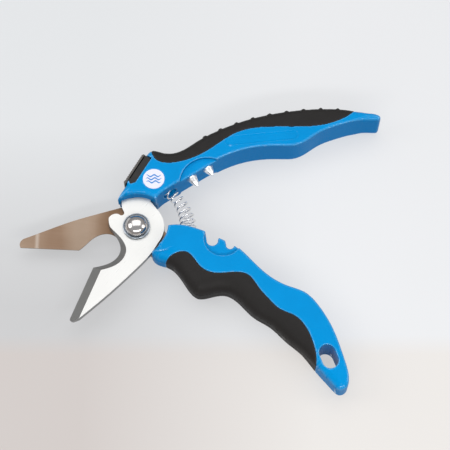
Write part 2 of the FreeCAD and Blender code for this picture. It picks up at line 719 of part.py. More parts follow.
def gripping_spikes():
    """Two steel cones on round roots, set in the upper handle's inner edge."""
    spikes = []
    for number, ((x, y), out) in enumerate(SPIKES, start=1):
        body = new_body(f"spike_{number}")
        sketch = new_sketch(body, f"spike_{number}_section", role="XZ_Plane")
        rim, root, tip = size("spike_radius"), size("spike_root"), 0.45
        polygon(sketch, (0, -root), (rim, -root), (rim, 1.2), (rim * 0.7, out * 0.6),
                (tip, out - tip / 2), (0, out))
        revolve(body, f"spike_{number}_turning", sketch)
        lay_down = Rotation(Vector(0, 1, 0), 90)
        swing = Rotation(Vector(0, 0, 1), SPIKE_ANGLE)
        body.Placement = Placement(Vector(x, y, SPIKE_LEVEL), swing.multiply(lay_down))
        spikes.append(body)
    return group("gripping_spikes", spikes)


def group(label, members):
    compound = doc.addObject("Part::Compound", label)
    compound.Links = members
    compound.Label = label
    doc.recompute()
    return compound


def tang_pins(label, low, places):
    pins = []
    for number, (x, y) in enumerate(places, start=1):
        pin = doc.addObject("Part::Cylinder", f"{label}_{number}")
        pin.setExpression("Radius", "Sizes.pin_radius")
        pin.setExpression("Height", "Sizes.pin_long")
        pin.Placement = Placement(Vector(x, y, low), Rotation())
        pins.append(pin)
    return group(label, pins)


def badge_disc():
    body = new_body("badge_disc")
    sketch = new_sketch(body, "badge_disc_outline", "Sizes.handle_thick - Sizes.badge_thick + 0.05")
    circle(sketch, (6.65, 19.0), "badge_radius")
    pad(body, "badge_disc_pad", sketch, "Sizes.badge_thick")
    return body


def panel_recess():
    """Plain rounded panel, very slightly sunk into the front face."""
    length, width, lean = 26.0, 3.8, math.radians(6.0)
    centre = (50.0, 37.4)

    def spot(along, across):
        return (centre[0] + along * math.cos(lean) - across * math.sin(lean),
                centre[1] + along * math.sin(lean) + across * math.cos(lean))

    half, end = length / 2, width / 2
    body = new_body("panel_recess")
    sketch = new_sketch(body, "panel_outline", "Sizes.handle_thick - Sizes.panel_deep")
    draw(sketch, spot(-half, end), ("line", spot(half, end)), ("arc", spot(half + end, 0), spot(half, -end)),
         ("line", spot(-half, -end)), ("arc", spot(-half - end, 0), spot(-half, end)))
    pad(body, "panel_pad", sketch, "2 mm")
    return body


def return_spring():
    """Open coil on an arc about the pivot; it widens over its upper two thirds."""
    path_radius, turns, wire = size("spring_path"), int(size("coil_count")), size("wire_radius")
    top, bottom, middle = size("spring_start"), size("spring_end"), size("mid_height")
    per_turn = 12
    widening = 0.65
    points = []
    for step in range(turns * per_turn + 1):
        share = step / (turns * per_turn)
        along = math.radians(top + (bottom - top) * share)
        turn = 2 * math.pi * step / per_turn
        grown = min(1.0, share / widening)
        coil = size("coil_top") + (size("coil_bottom") - size("coil_top")) * grown
        reach = path_radius + coil * math.cos(turn)
        rise = coil * math.sin(turn)
        points.append(Vector(reach * math.cos(along), reach * math.sin(along), middle + rise))
    path = Part.BSplineCurve()
    path.interpolate(points)
    start = path.FirstParameter
    section = Part.Wire([Part.Circle(path.value(start), Vector(*path.tangent(start)[0]), wire).toShape()])
    spring = doc.addObject("Part::Feature", "return_spring")
    spring.Shape = Part.Wire([path.toShape()]).makePipeShell([section], True, True)
    spring.Label = "return_spring"
    return spring


# ---------------------------------------------------------------- assembly

front = front_blade()
rear = rear_blade()
bolt = pivot_bolt()
washer = rear_washer()
collar = pivot_collar()
nut = pivot_nut()
bar = lock_bar()
button = lock_button(bar)
leaf = detent_leaf()
spikes = gripping_spikes()
badge = badge_disc()
upper_pins = tang_pins("upper_tang_pins", 4.2, UPPER_PINS)
lower_pins = tang_pins("lower_tang_pins", 3.4, LOWER_PINS)
spring = return_spring()

upper_block = boolean("Cut", "upper_block", upper_form(),
                      [front_hollow("upper_hollow", 0), hub_room(), spring_pocket("upper_pocket", 44.0),
                       *lock_channel(), leaf_seat(), panel_recess(),
                       *crescents("upper_step", (28.1, 17.5), 11.0)])
upper_soft_zone = boolean("Cut", "upper_soft_zone", upper_zone(), [upper_core()])
grip_body = boolean("Common", "upper_grip_body", upper_block, [upper_soft_zone])
rib_set = doc.addObject("Part::MultiFuse", "upper_grip")
rib_set.Shapes = [grip_body] + ribs(UPPER_BACK, RIB_COUNT, FIRST_RIB)
rib_set.Label = "upper_grip"
doc.recompute()
handle_blank = boolean("Cut", "upper_blank", upper_block, [upper_soft_zone])
upper = boolean("Cut", "upper_handle", handle_blank, [front, spikes, badge, upper_pins, rib_set])

lower_block = boolean("Cut", "lower_block", lower_form(),
                      [front_hollow("lower_hollow", 0.2), spring_pocket("lower_pocket", -14.0),
                       *spike_notches(), lanyard_hole(), *tail_wedges(),
                       *crescents("lower_step", (34.4, -6.6), 7.4)])
lower_soft_zone = boolean("Cut", "lower_soft_zone", lower_zone(), [lower_core()])
lower_grip = boolean("Common", "lower_grip", lower_block, [lower_soft_zone])
lower_blank = boolean("Cut", "lower_blank", lower_block, [lower_soft_zone])
lower = boolean("Cut", "lower_handle", lower_blank, [rear, lower_pins])

pieces = [front, rear, bolt, washer, collar, nut, bar, button, leaf, spikes, badge, upper_pins, lower_pins,
          spring, rib_set, upper, lower_grip, lower]

# ---------------------------------------------------------------- checks and files

doc.recompute()
failed = [item.Name for item in doc.Objects if {"Invalid", "Error"} & set(item.State)]
if failed:
    raise RuntimeError(f"objects failed to recompute: {failed}")
for piece in pieces:
    if piece.Shape.isNull() or not piece.Shape.isValid():
        raise RuntimeError(f"{piece.Label} has no valid shape")

os.makedirs("parts", exist_ok=True)
for piece in pieces:
    piece.Shape.exportStep(f"parts/{piece.Label}.step")
    print(f"{piece.Label}: {len(piece.Shape.Solids)} solid(s), {piece.Shape.Volume:.0f} mm3")
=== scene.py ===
"""Looks of the spring-open fishing snips: moulded handles, soft grips, steel blades and spring."""

import json
import math

import bmesh
import bpy
import numpy as np
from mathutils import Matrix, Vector
from mathutils.bvhtree import BVHTree
from mathutils.kdtree import KDTree


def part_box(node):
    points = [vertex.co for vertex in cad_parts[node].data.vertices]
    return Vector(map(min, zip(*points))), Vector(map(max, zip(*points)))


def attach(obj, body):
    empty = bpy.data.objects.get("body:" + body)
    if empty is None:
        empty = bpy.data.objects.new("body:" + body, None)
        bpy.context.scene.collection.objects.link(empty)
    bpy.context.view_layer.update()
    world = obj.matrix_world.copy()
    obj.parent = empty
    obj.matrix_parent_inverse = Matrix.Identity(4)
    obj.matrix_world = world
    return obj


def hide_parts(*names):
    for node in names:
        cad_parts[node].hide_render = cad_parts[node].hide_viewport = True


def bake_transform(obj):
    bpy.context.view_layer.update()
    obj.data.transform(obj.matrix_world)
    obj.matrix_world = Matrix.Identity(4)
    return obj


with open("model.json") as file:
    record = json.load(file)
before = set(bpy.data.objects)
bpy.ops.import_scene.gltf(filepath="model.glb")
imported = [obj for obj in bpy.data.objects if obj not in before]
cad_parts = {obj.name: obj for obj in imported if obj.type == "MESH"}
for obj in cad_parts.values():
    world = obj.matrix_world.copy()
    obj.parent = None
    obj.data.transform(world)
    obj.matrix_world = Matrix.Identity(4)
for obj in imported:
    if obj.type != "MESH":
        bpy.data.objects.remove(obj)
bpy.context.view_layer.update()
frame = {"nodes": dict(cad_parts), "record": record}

MM = 0.001                          # the frame is in metres, and sizes below are in millimetres
UPPER, LOWER = "upper_lever", "lower_lever"
nodes = frame["nodes"]


def centre_of(node):
    low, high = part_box(node)
    return (low + high) / 2


def mount_place(name):
    return Vector(next(mount["pos_m"] for mount in frame["record"]["mounts"] if mount["name"] == name))


PIVOT = centre_of("pivot_bolt").xy.to_3d()
LANYARD = mount_place("lanyard_hole").xy
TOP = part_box("upper_handle")[1].z
MIDDLE = TOP / 2


# ---------------------------------------------------------------- materials

class Nodes:
    """Short way to write a material's node tree."""

    def __init__(self, name):
        self.material = bpy.data.materials.new(name)
        self.material.use_nodes = True
        self.tree = self.material.node_tree
        self.surface = self.tree.nodes["Principled BSDF"]
        place = self.add("ShaderNodeNewGeometry")
        self.edge = place.outputs["Pointiness"]
        self.normal = place.outputs["Normal"]
        self.object = self.add("ShaderNodeTexCoord").outputs["Object"]

    def add(self, kind, **inputs):
        node = self.tree.nodes.new(kind)
        for key, value in inputs.items():
            self.put(node.inputs[key.replace("_", " ")], value)
        return node

    def put(self, socket, value):
        if isinstance(value, bpy.types.NodeSocket):
            self.tree.links.new(value, socket)
        else:
            socket.default_value = value

    def set(self, **inputs):
        for key, value in inputs.items():
            self.put(self.surface.inputs[key.replace("_", " ")], value)

    def stretched(self, scale, turn=0.0):
        """Object coordinates scaled unevenly, for brushed and drawn finishes."""
        turned = self.add("ShaderNodeMapping", Vector=self.object)
        turned.inputs["Rotation"].default_value = (0.0, 0.0, -turn)
        node = self.add("ShaderNodeMapping", Vector=turned.outputs["Vector"])
        node.inputs["Scale"].default_value = scale
        return node.outputs["Vector"]

    def noise(self, scale, detail=3.0, rough=0.55, vector=None):
        node = self.add("ShaderNodeTexNoise", Scale=scale, Detail=detail, Roughness=rough,
                        Vector=vector or self.object)
        return node.outputs["Fac"]

    def ramp(self, factor, low, high, start, end):
        """Maps a factor from one range onto another, clamped."""
        node = self.add("ShaderNodeMapRange", Value=factor)
        node.inputs["From Min"].default_value = low
        node.inputs["From Max"].default_value = high
        node.inputs["To Min"].default_value = start
        node.inputs["To Max"].default_value = end
        return node.outputs["Result"]

    def mix(self, factor, first, second):
        """Blends two colours; the node keeps its colour sockets at places 6 and 7, its result at 2."""
        node = self.add("ShaderNodeMix")
        node.data_type = "RGBA"
        self.put(node.inputs[0], factor)
        self.put(node.inputs[6], first)
        self.put(node.inputs[7], second)
        return node.outputs[2]

    def math(self, kind, first, second=0.0):
        """One arithmetic step on two numbers, or on the first alone."""
        node = self.add("ShaderNodeMath")
        node.operation = kind
        self.put(node.inputs[0], first)
        self.put(node.inputs[1], second)
        return node.outputs[0]

    def axis(self, name, vector=None):
        """One coordinate of the object space, or of another vector."""
        return self.add("ShaderNodeSeparateXYZ", Vector=vector or self.object).outputs[name]

    def band(self, value, middle, half, soft):
        """One inside a band of values and zero outside it, with soft borders."""
        away = self.math("ABSOLUTE", self.math("SUBTRACT", value, middle))
        return self.ramp(away, half, half + soft, 1.0, 0.0)

    def bump(self, height, strength, distance, normal=None):
        node = self.add("ShaderNodeBump", Height=height, Strength=strength, Distance=distance)
        if normal is not None:
            self.put(node.inputs["Normal"], normal)
        return node.outputs["Normal"]


def rgb(red, green, blue):
    """Linear colour from display values 0 to 255."""
    def linear(value):
        value /= 255
        return value / 12.92 if value <= 0.04045 else ((value + 0.055) / 1.055) ** 2.4
    return (linear(red), linear(green), linear(blue), 1.0)


def moulded(name, colour, pale, drift_and_wall_shade, roughness, grain_scale, grain, shine, wear, gloss):
    """Moulded plastic or rubber: colour drift, fine grain, faint scratches, side walls painted darker as
    painted shade, with a parting line round them, and edges that handling has polished and rubbed paler."""
    m = Nodes(name)
    drift = m.ramp(m.noise(90.0, 4.0), 0.3, 0.7, 0.8, 1.0)
    # painted shade: side walls take the darker colour and upward faces the full one; on upward faces the
    # same darker colour also gives a random drift
    top_lit_share = m.ramp(m.math("ABSOLUTE", m.axis("Z", m.normal)), 0.15, 0.75, 0.0, 1.0)
    tone = m.mix(m.math("MULTIPLY", drift, top_lit_share), drift_and_wall_shade, colour)
    scratch = m.noise(60.0, 6.0, 0.7, m.stretched((3.0, 40.0, 8.0), 0.5))
    rubbed = m.ramp(m.edge, 0.508, 0.54, 0.0, 1.0)
    patchy = m.ramp(m.noise(900.0, 3.0), 0.4, 0.62, 0.3, 1.0)
    tone = m.mix(m.math("MULTIPLY", m.math("MULTIPLY", rubbed, patchy), wear), tone, pale)
    m.set(Coat_Weight=m.math("MULTIPLY", rubbed, shine), Coat_Roughness=0.12, Coat_IOR=1.8)
    m.set(Base_Color=tone, Specular_IOR_Level=gloss)
    dull = m.math("ADD", scratch, m.noise(400.0))
    m.set(Roughness=m.ramp(dull, 0.7, 1.3, roughness - 0.06, roughness + 0.08))
    fine = m.bump(m.noise(grain_scale, 4.0, 0.6), grain, 0.00005)
    lined = m.bump(scratch, 0.04, 0.00005, fine)
    parting = m.band(m.axis("Z"), MIDDLE, 0.06 * MM, 0.1 * MM)
    m.set(Normal=m.bump(parting, -0.25, 0.0001, lined))
    return m.material


SLIDE_ANGLE = math.radians(60.0)        # direction of the lock's slide
SLIDE_EDGE = 12.3 * MM                  # how far the edge it runs along passes from the pivot


def serrated_plastic(name, colour, pale, roughness):
    """Black button plastic; the strip the thumb pushes is painted paler, partly as wear and partly as a
    painted highlight that is strongest on its upward faces.
    """
    m = Nodes(name)
    left = m.math("MULTIPLY", m.axis("X"), -math.sin(SLIDE_ANGLE))
    out = m.math("ADD", left, m.math("MULTIPLY", m.axis("Y"), math.cos(SLIDE_ANGLE)))
    strip = m.ramp(out, SLIDE_EDGE + 0.35 * MM, SLIDE_EDGE + 0.5 * MM, 0.0, 1.0)
    # painted highlight and wear: the strip is painted paler in patches, most on its upward faces
    top_lit_share = m.ramp(m.math("ABSOLUTE", m.axis("Z", m.normal)), 0.3, 0.9, 0.25, 1.0)
    patchy = m.ramp(m.noise(700.0, 3.0), 0.3, 0.6, 0.75, 1.0)
    strip_sheen_and_wear = m.math("MULTIPLY", strip, m.math("MULTIPLY", top_lit_share, patchy))
    m.set(Base_Color=m.mix(strip_sheen_and_wear, colour, pale), Specular_IOR_Level=0.35)
    m.set(Roughness=m.ramp(m.noise(400.0, 4.0), 0.3, 0.7, roughness - 0.05, roughness + 0.08))
    m.set(Normal=m.bump(m.noise(4200.0, 4.0, 0.6), 0.14, 0.00005))
    return m.material


def steel(name, colour, stain_and_reflection, tilted_colour, roughness, turn, brushed, metal=0.9, bands=()):
    """Satin steel with brushed lines, soft stains that on the rear blade are painted reflection, a
    darker colour on faces tilted out of the flat, and soft bands across x, each given by its middle, half
    width, softness, strength and colour."""
    m = Nodes(name)
    lines = m.noise(2600.0, 4.0, 0.7, m.stretched((0.03, 1.0, 1.0), turn))
    hairs = m.noise(900.0, 3.0, 0.6, m.stretched((0.05, 2.0, 1.0), turn + 0.25))
    # soft cloudy stains; on the rear blade this cloud varies its painted brown reflection
    cloud = m.ramp(m.noise(48.0, 2.0), 0.35, 0.65, 0.0, 1.0)
    tone = m.mix(cloud, colour, stain_and_reflection)
    for middle, half, soft, strength, shade in bands:
        share = m.math("MULTIPLY", m.band(m.axis("X"), middle * MM, half * MM, soft * MM), strength)
        tone = m.mix(share, tone, shade)
    # faces that tilt out of the flat, bevels and edge walls among them, take a darker colour
    level = m.ramp(m.math("ABSOLUTE", m.axis("Z", m.normal)), 0.90, 0.97, 0.0, 1.0)
    tone = m.mix(level, tilted_colour, tone)
    shade = m.ramp(lines, 0.3, 0.7, 0.93, 1.0)
    m.set(Base_Color=m.mix(shade, (0.2, 0.2, 0.2, 1.0), tone))
    m.set(Metallic=metal, Roughness=m.ramp(lines, 0.3, 0.7, roughness - 0.05, roughness + 0.08))
    m.set(Anisotropic=0.3)
    first = m.bump(lines, brushed, 0.00001)
    m.set(Normal=m.bump(hairs, brushed * 0.7, 0.00001, first))
    return m.material


def polished(name, colour, roughness):
    """Bright turned steel with faint swirl marks and finger smears."""
    m = Nodes(name)
    smear = m.noise(350.0, 4.0)
    m.set(Base_Color=m.mix(m.ramp(smear, 0.4, 0.7, 0.0, 0.25), colour, (0.42, 0.42, 0.45, 1.0)))
    m.set(Metallic=1.0, Roughness=m.ramp(smear, 0.3, 0.7, roughness, roughness + 0.06))
    m.set(Normal=m.bump(m.noise(2500.0, 3.0, 0.6), 0.03, 0.00002))
    return m.material


def enamel(name, colour):
    """Hard printed enamel with a fine orange-peel surface."""
    m = Nodes(name)
    speck = m.ramp(m.noise(2600.0, 2.0), 0.62, 0.75, 0.0, 0.2)
    m.set(Base_Color=m.mix(speck, colour, rgb(150, 165, 190)))
    m.set(Roughness=m.ramp(m.noise(500.0), 0.3, 0.7, 0.28, 0.4), Coat_Weight=0.2, Coat_Roughness=0.15)
    m.set(Normal=m.bump(m.noise(1800.0), 0.06, 0.00003))
    return m.material


BLADE_LEAN = math.radians(52.0)         # grinding direction of the front blade's faces
DULL = (0.34, 0.34, 0.33, 1.0)
# Soft bands across the rear blade, each as middle, half width, softness, strength and colour: they vary its
# painted brown reflection, with a pale streak near the tip and darker patches nearer the hub.
REAR_REFLECTION_BANDS = [
    (-39.6, 0.2, 0.9, 0.40, (0.60, 0.54, 0.48, 1.0)),
    (-33.0, 2.0, 6.0, 0.45, (0.20, 0.12, 0.075, 1.0)),
    (-22.0, 2.0, 6.0, 0.45, (0.33, 0.26, 0.20, 1.0)),
    (-9.0, 2.0, 6.0, 0.75, (0.13, 0.07, 0.035, 1.0)),
]
MATERIALS = {
    # the third colour of each moulded material is both its colour drift and the painted shade of its side
    # walls
    "blue_plastic": moulded("blue_plastic", rgb(0, 143, 211), rgb(90, 200, 245), rgb(0, 112, 174),
                            0.32, 5200.0, 0.08, 1.0, 0.2, 0.04),
    "black_rubber": moulded("black_rubber", rgb(34, 32, 31), rgb(70, 67, 64), rgb(25, 23, 22),
                            0.55, 3400.0, 0.28, 0.15, 0.25, 0.20),
    "black_plastic": serrated_plastic("black_plastic", rgb(24, 22, 21), rgb(88, 84, 80), 0.40),
    "front_blade_steel": steel("front_blade_steel", (0.69, 0.685, 0.665, 1), (0.65, 0.645, 0.625, 1),
                               (0.24, 0.24, 0.235, 1), 0.32, BLADE_LEAN, 0.08, 0.6),
    # painted reflection: the rear blade is given brown steel colours, darker than the front blade's, in
    # place of the warm, shaded surroundings it reflects
    "rear_blade_steel": steel("rear_blade_steel", (0.22, 0.145, 0.095, 1), (0.30, 0.215, 0.155, 1),
                              (0.2, 0.17, 0.15, 1), 0.36, -0.1, 0.08, 0.9, REAR_REFLECTION_BANDS),
    "plain_steel": steel("plain_steel", (0.6, 0.6, 0.6, 1), (0.5, 0.5, 0.5, 1), DULL, 0.4, 0.3, 0.1),
    "polished_steel": polished("polished_steel", (0.64, 0.61, 0.59, 1), 0.12),
    # painted reflection: the collar's darker blue-grey colour stands in for the dark blue-grey it reflects
    # in its dish
    "collar_reflection_steel": polished("collar_reflection_steel", (0.42, 0.47, 0.52, 1), 0.14),
    "spring_steel": polished("spring_steel", (0.90, 0.89, 0.88, 1), 0.20),
    "spike_steel": polished("spike_steel", (1.0, 1.0, 1.0, 1), 0.34),
    "badge_enamel": enamel("badge_enamel", rgb(226, 226, 246)),
    "badge_ink": enamel("badge_ink", rgb(20, 125, 200)),
}


def paint(piece, name):
    """Gives a piece one of the materials above."""
    piece.data.materials.clear()
    piece.data.materials.append(MATERIALS[name])


# ---------------------------------------------------------------- mesh helpers

def new_piece(name, vertices, faces, smooth=True):
    """Mesh object in the scene."""
    mesh = bpy.data.meshes.new(name)
    mesh.from_pydata([tuple(v) for v in vertices], [], faces)
    mesh.update()
    piece = bpy.data.objects.new(name, mesh)
    bpy.context.scene.collection.objects.link(piece)
    mesh.polygons.foreach_set("use_smooth", [smooth] * len(mesh.polygons))
    return piece


def applied(piece):
    """Bakes a piece's modifiers into its mesh."""
    bpy.context.view_layer.update()
    graph = bpy.context.evaluated_depsgraph_get()
    mesh = bpy.data.meshes.new_from_object(piece.evaluated_get(graph))
    piece.modifiers.clear()
    piece.data = mesh
    return piece


def welded_copy(node, name):
    """Closed copy of a CAD node's mesh, as a new piece."""
    piece = bpy.data.objects.new(name, nodes[node].data.copy())
    bpy.context.scene.collection.objects.link(piece)
    work = bmesh.new()
    work.from_mesh(piece.data)
    bmesh.ops.remove_doubles(work, verts=work.verts, dist=1e-6)
    work.to_mesh(piece.data)
    work.free()
    return piece


def points_of(mesh):
    flat = np.empty(len(mesh.vertices) * 3)
    mesh.vertices.foreach_get("co", flat)
    return flat.reshape(-1, 3)


def normals_of(mesh):
    flat = np.empty(len(mesh.vertices) * 3)
    mesh.vertices.foreach_get("normal", flat)
    return flat.reshape(-1, 3)


def family_tree(*members):
    """One ray-casting tree over several CAD nodes."""
    vertices, faces = [], []
    for member in members:
        mesh = nodes[member].data
        first = len(vertices)
        vertices += [vertex.co.copy() for vertex in mesh.vertices]
        faces += [[first + index for index in polygon.vertices] for polygon in mesh.polygons]
    return BVHTree.FromPolygons(vertices, faces)


CROWN, CROWN_WIDTH = 0.2 * MM, 7 * MM       # slight swell of the broad faces
FULLEST = 5.0 * MM                          # deepest an edge is rounded, however wide the rounding
THINNEST = 0.1                              # share of the thickness that is always left


class Rim:
    """Outline of a handle with its grip: side walls that have nothing beyond them, seen from above.

    Each place on it knows how round the edge is there, evened out along the outline.
    """
    STEP = 0.35 * MM                # how far outside a wall is looked at
    SPREAD = 4.5 * MM               # how far the rounding is evened out along the outline
    WIDE = 1.8 * MM                 # a wide rounding counts even where a crisp edge is nearer
    HOLE = 6.0 * MM                 # walls this near the lanyard hole's middle that face it are its own
    UPRIGHT = 0.35                  # a wall's normal leans less than this out of the flat
    EVERY = 5                       # one in so many neighbours is enough to even out the rounding

    def __init__(self, tree, meshes, radius_at):
        places, outward = [], []
        for mesh in meshes:
            for point, normal in zip(points_of(mesh)[::2], normals_of(mesh)[::2]):
                place, away = Vector((*point[:2], 0)), Vector((*normal[:2], 0))
                to_hole = LANYARD - place.xy
                in_hole = to_hole.length < self.HOLE and to_hole.dot(away.xy) > 0
                if abs(normal[2]) > self.UPRIGHT or in_hole:
                    continue
                away.normalize()
                if self.open_above(tree, place + away * self.STEP):
                    places.append(place)
                    outward.append(away)
        self.places = places
        self.tree = self.planted(range(len(places)))
        own = [radius_at(place, away) for place, away in zip(places, outward)]
        self.radius = [self.evened(place, own) for place in places]
        self.wide = self.planted([index for index in range(len(places)) if self.radius[index] > self.WIDE])

    def planted(self, chosen):
        """Search tree over some of the places."""
        tree = KDTree(len(chosen))
        for index in chosen:
            tree.insert(self.places[index], index)
        tree.balance()
        return tree

    def open_above(self, tree, place):
        """Whether nothing of the handle lies at that spot, seen from above."""
        return tree.ray_cast(Vector((place.x, place.y, 2 * TOP)), Vector((0, 0, -1)))[0] is None

    def evened(self, place, own):
        """Mean of the neighbours' own rounding."""
        near = self.tree.find_range(place, self.SPREAD)[::self.EVERY]
        return sum(own[index] for _, index, _ in near) / len(near)

    def drop(self, x, y):
        """How far the broad face lies below its full height there, edges and crown together."""
        drops = []
        for tree in (self.tree, self.wide):
            _, index, distance = tree.find((x, y, 0.0))
            radius = self.radius[index]
            near = max(0.0, 1.0 - distance / radius)
            rounding = min(radius, FULLEST) * (1.0 - math.sqrt(max(0.0, 1.0 - near * near)))
            drops.append(rounding + CROWN * max(0.0, 1.0 - distance / CROWN_WIDTH) ** 2)
        return max(drops)


def crowned(piece, rim):
    """Rounds the long edges and swells the middle of a flat-faced piece by moving points along z."""
    mesh = piece.data
    points = points_of(mesh)
    for index, (x, y, z) in enumerate(points):
        points[index, 2] = MIDDLE + (z - MIDDLE) * max(THINNEST, 1.0 - rim.drop(x, y) / MIDDLE)
    mesh.vertices.foreach_set("co", points.ravel())
    mesh.update()


def smoothstep(value, low, high):
    share = min(1.0, max(0.0, (value - low) / (high - low)))
    return share * share * (3 - 2 * share)


def moulding(node, name):
    """Evenly meshed copy of a moulded CAD piece, its sharp corners softened a little."""
    piece = welded_copy(node, name)
    remesh = piece.modifiers.new("remesh", "REMESH")
    remesh.mode = "VOXEL"
    remesh.voxel_size = VOXEL
    remesh.use_smooth_shade = True
    soften = piece.modifiers.new("soften", "SMOOTH")
    soften.factor = 0.5
    soften.iterations = SOFTENING
    applied(piece)
    piece.data.polygons.foreach_set("use_smooth", [True] * len(piece.data.polygons))
    return piece


# ---------------------------------------------------------------- handles and grips

VOXEL = 0.28 * MM
SOFTENING = 2                       # smoothing passes over a moulding
CRISP = 0.75 * MM                   # radius of the handles' inner edges
THUMB_SIDE = Vector((-0.2, 0.98, 0.0))      # out of the upper handle's rubber back
FINGER_SIDE = Vector((-0.2, -0.98, 0.0))    # out of the lower handle's grip


def upper_radius(place, outward):
    """Crisp inside, rounder over the hub, soft along the rubber back where the thumb lies."""
    back = smoothstep(outward.dot(THUMB_SIDE), 0.1, 0.8) * 1.9 * MM
    lip = (1.0 - smoothstep(place.length, 13.6 * MM, 15.5 * MM)) * 1.1 * MM
    return CRISP + max(back, lip)


def lower_radius(place, outward):
    """Crisp along the back, full and round where the fingers wrap it, slimmer towards the tail."""
    fingers = smoothstep(outward.dot(FINGER_SIDE), 0.0, 0.7)
    slim = smoothstep(-place.y, 44 * MM, 60 * MM)
    return CRISP + fingers * (6.0 - 3.8 * slim) * MM


def handle_pair(body, handle, grip, lids, radius_at):
    """Handle and grip rounded as one along their common outline; lids are pieces that close its gaps."""
    hard = moulding(handle, handle + "_moulding")
    soft = moulding(grip, grip + "_rubber")
    rim = Rim(family_tree(handle, grip, *lids), [hard.data, soft.data], radius_at)
    for piece, node, material in ((hard, handle, "blue_plastic"), (soft, grip, "black_rubber")):
        crowned(piece, rim)
        paint(piece, material)
        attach(piece, body)
        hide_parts(node)


handle_pair(UPPER, "upper_handle", "upper_grip", ["badge_disc", "lock_button"], upper_radius)
handle_pair(LOWER, "lower_handle", "lower_grip", [], lower_radius)


# ---------------------------------------------------------------- steel pieces

def lathe(name, profile, place, steps=96):
    """Turned piece from (radius, height) points about a vertical axis through a place."""
    vertices, faces = [], []
    for step in range(steps):
        angle = 2 * math.pi * step / steps
        for radius, height in profile:
            vertices.append((place.x + radius * math.cos(angle), place.y + radius * math.sin(angle), height))
    rows = len(profile)
    for step in range(steps):
        here, there = step * rows, (step + 1) % steps * rows
        for row in range(rows - 1):
            faces.append((here + row, there + row, there + row + 1, here + row + 1))
    piece = new_piece(name, vertices, faces)
    work = bmesh.new()
    work.from_mesh(piece.data)
    bmesh.ops.remove_doubles(work, verts=work.verts, dist=1e-7)
    bmesh.ops.dissolve_degenerate(work, edges=work.edges, dist=1e-7)
    work.to_mesh(piece.data)
    work.free()
    return piece


def dome_nut():
    """Chrome dome on a short skirt."""
    low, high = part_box("pivot_nut")
    rim, skirt, inset, bevel = (high.x - low.x) / 2, 0.35 * MM, 0.12 * MM, 0.1 * MM
    rise = high.z - low.z - skirt
    steps = 32
    turns = [math.pi / 2 * step / steps for step in range(steps + 1)]
    arc = [(rim * math.cos(turn), low.z + skirt + rise * math.sin(turn)) for turn in turns]
    arc[-1] = (0.0, high.z)
    foot = [(0.0, low.z), (rim - inset, low.z), (rim, low.z + bevel)]
    dress(lathe("dome_nut", foot + arc, PIVOT), "polished_steel", "pivot_nut")


def collar_ring():
    """Dished ring round the foot of the dome."""
    low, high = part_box("pivot_collar")
    rim, foot = (high.x - low.x) / 2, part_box("pivot_nut")[1].x
    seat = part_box("pivot_nut")[0].z
    edge, lip = 0.22 * MM, 0.08 * MM
    outer = [(rim - edge * (1 - math.cos(turn)), high.z - edge * (1 - math.sin(turn)))
             for turn in (0.0, 0.4, 0.8, 1.2, math.pi / 2)]
    dish_start = rim - edge - lip
    across, deep = foot - dish_start, high.z - seat
    dish = [(dish_start + across * share, high.z - deep * math.sin(share * math.pi / 2))
            for share in (0.0, 0.1, 0.25, 0.45, 0.7, 1.0)]
    profile = [(foot - MM, low.z), (rim, low.z)] + outer + dish + [(foot - MM, seat), (foot - MM, low.z)]
    dress(lathe("collar_ring", profile, PIVOT), "collar_reflection_steel", "pivot_collar")


def dress(piece, material, node):
    """A polished piece that stands for one CAD node of the upper lever."""
    paint(piece, material)
    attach(piece, UPPER)
    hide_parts(node)


dome_nut()
collar_ring()

EDGE_BREAK = 0.08 * MM              # fine bevel on the edges of the pieces kept from the CAD
SHARP = math.radians(28)            # edges sharper than this get it
CAD_MATERIALS = {
    "front_blade": "front_blade_steel", "rear_blade": "rear_blade_steel", "pivot_bolt": "polished_steel",
    "rear_washer": "polished_steel", "lock_bar": "plain_steel", "lock_button": "black_plastic",
    "detent_leaf": "plain_steel", "gripping_spikes": "spike_steel", "badge_disc": "badge_enamel",
    "upper_tang_pins": "plain_steel", "lower_tang_pins": "plain_steel",
}
for node_name, material_name in CAD_MATERIALS.items():
    paint(nodes[node_name], material_name)
    edge = nodes[node_name].modifiers.new("edge", "BEVEL")
    edge.width = EDGE_BREAK
    edge.segments = 2
    edge.limit_method = "ANGLE"
    edge.angle_limit = SHARP
    edge.harden_normals = True


# ---------------------------------------------------------------- return spring

def tube(name, path, radius, sides=12):
    """Round wire along a path, closed at both ends."""
    path = [Vector(point) for point in path]
    vertices, faces = [], []
    side = Vector((0, 0, 1))
    for index, point in enumerate(path):
        ahead = (path[min(index + 1, len(path) - 1)] - path[max(index - 1, 0)]).normalized()
        side = (side - ahead * side.dot(ahead)).normalized()
        other = ahead.cross(side)
        for step in range(sides):
            angle = 2 * math.pi * step / sides
            vertices.append(point + side * radius * math.cos(angle) + other * radius * math.sin(angle))
    for index in range(len(path) - 1):
        for step in range(sides):
            near, next_step = index * sides, (step + 1) % sides
            faces.append((near + step, near + next_step, near + sides + next_step, near + sides + step))
    last = (len(path) - 1) * sides
    faces.append(tuple(reversed(range(sides))))
    faces.append(tuple(last + step for step in range(sides)))
    return new_piece(name, vertices, faces)


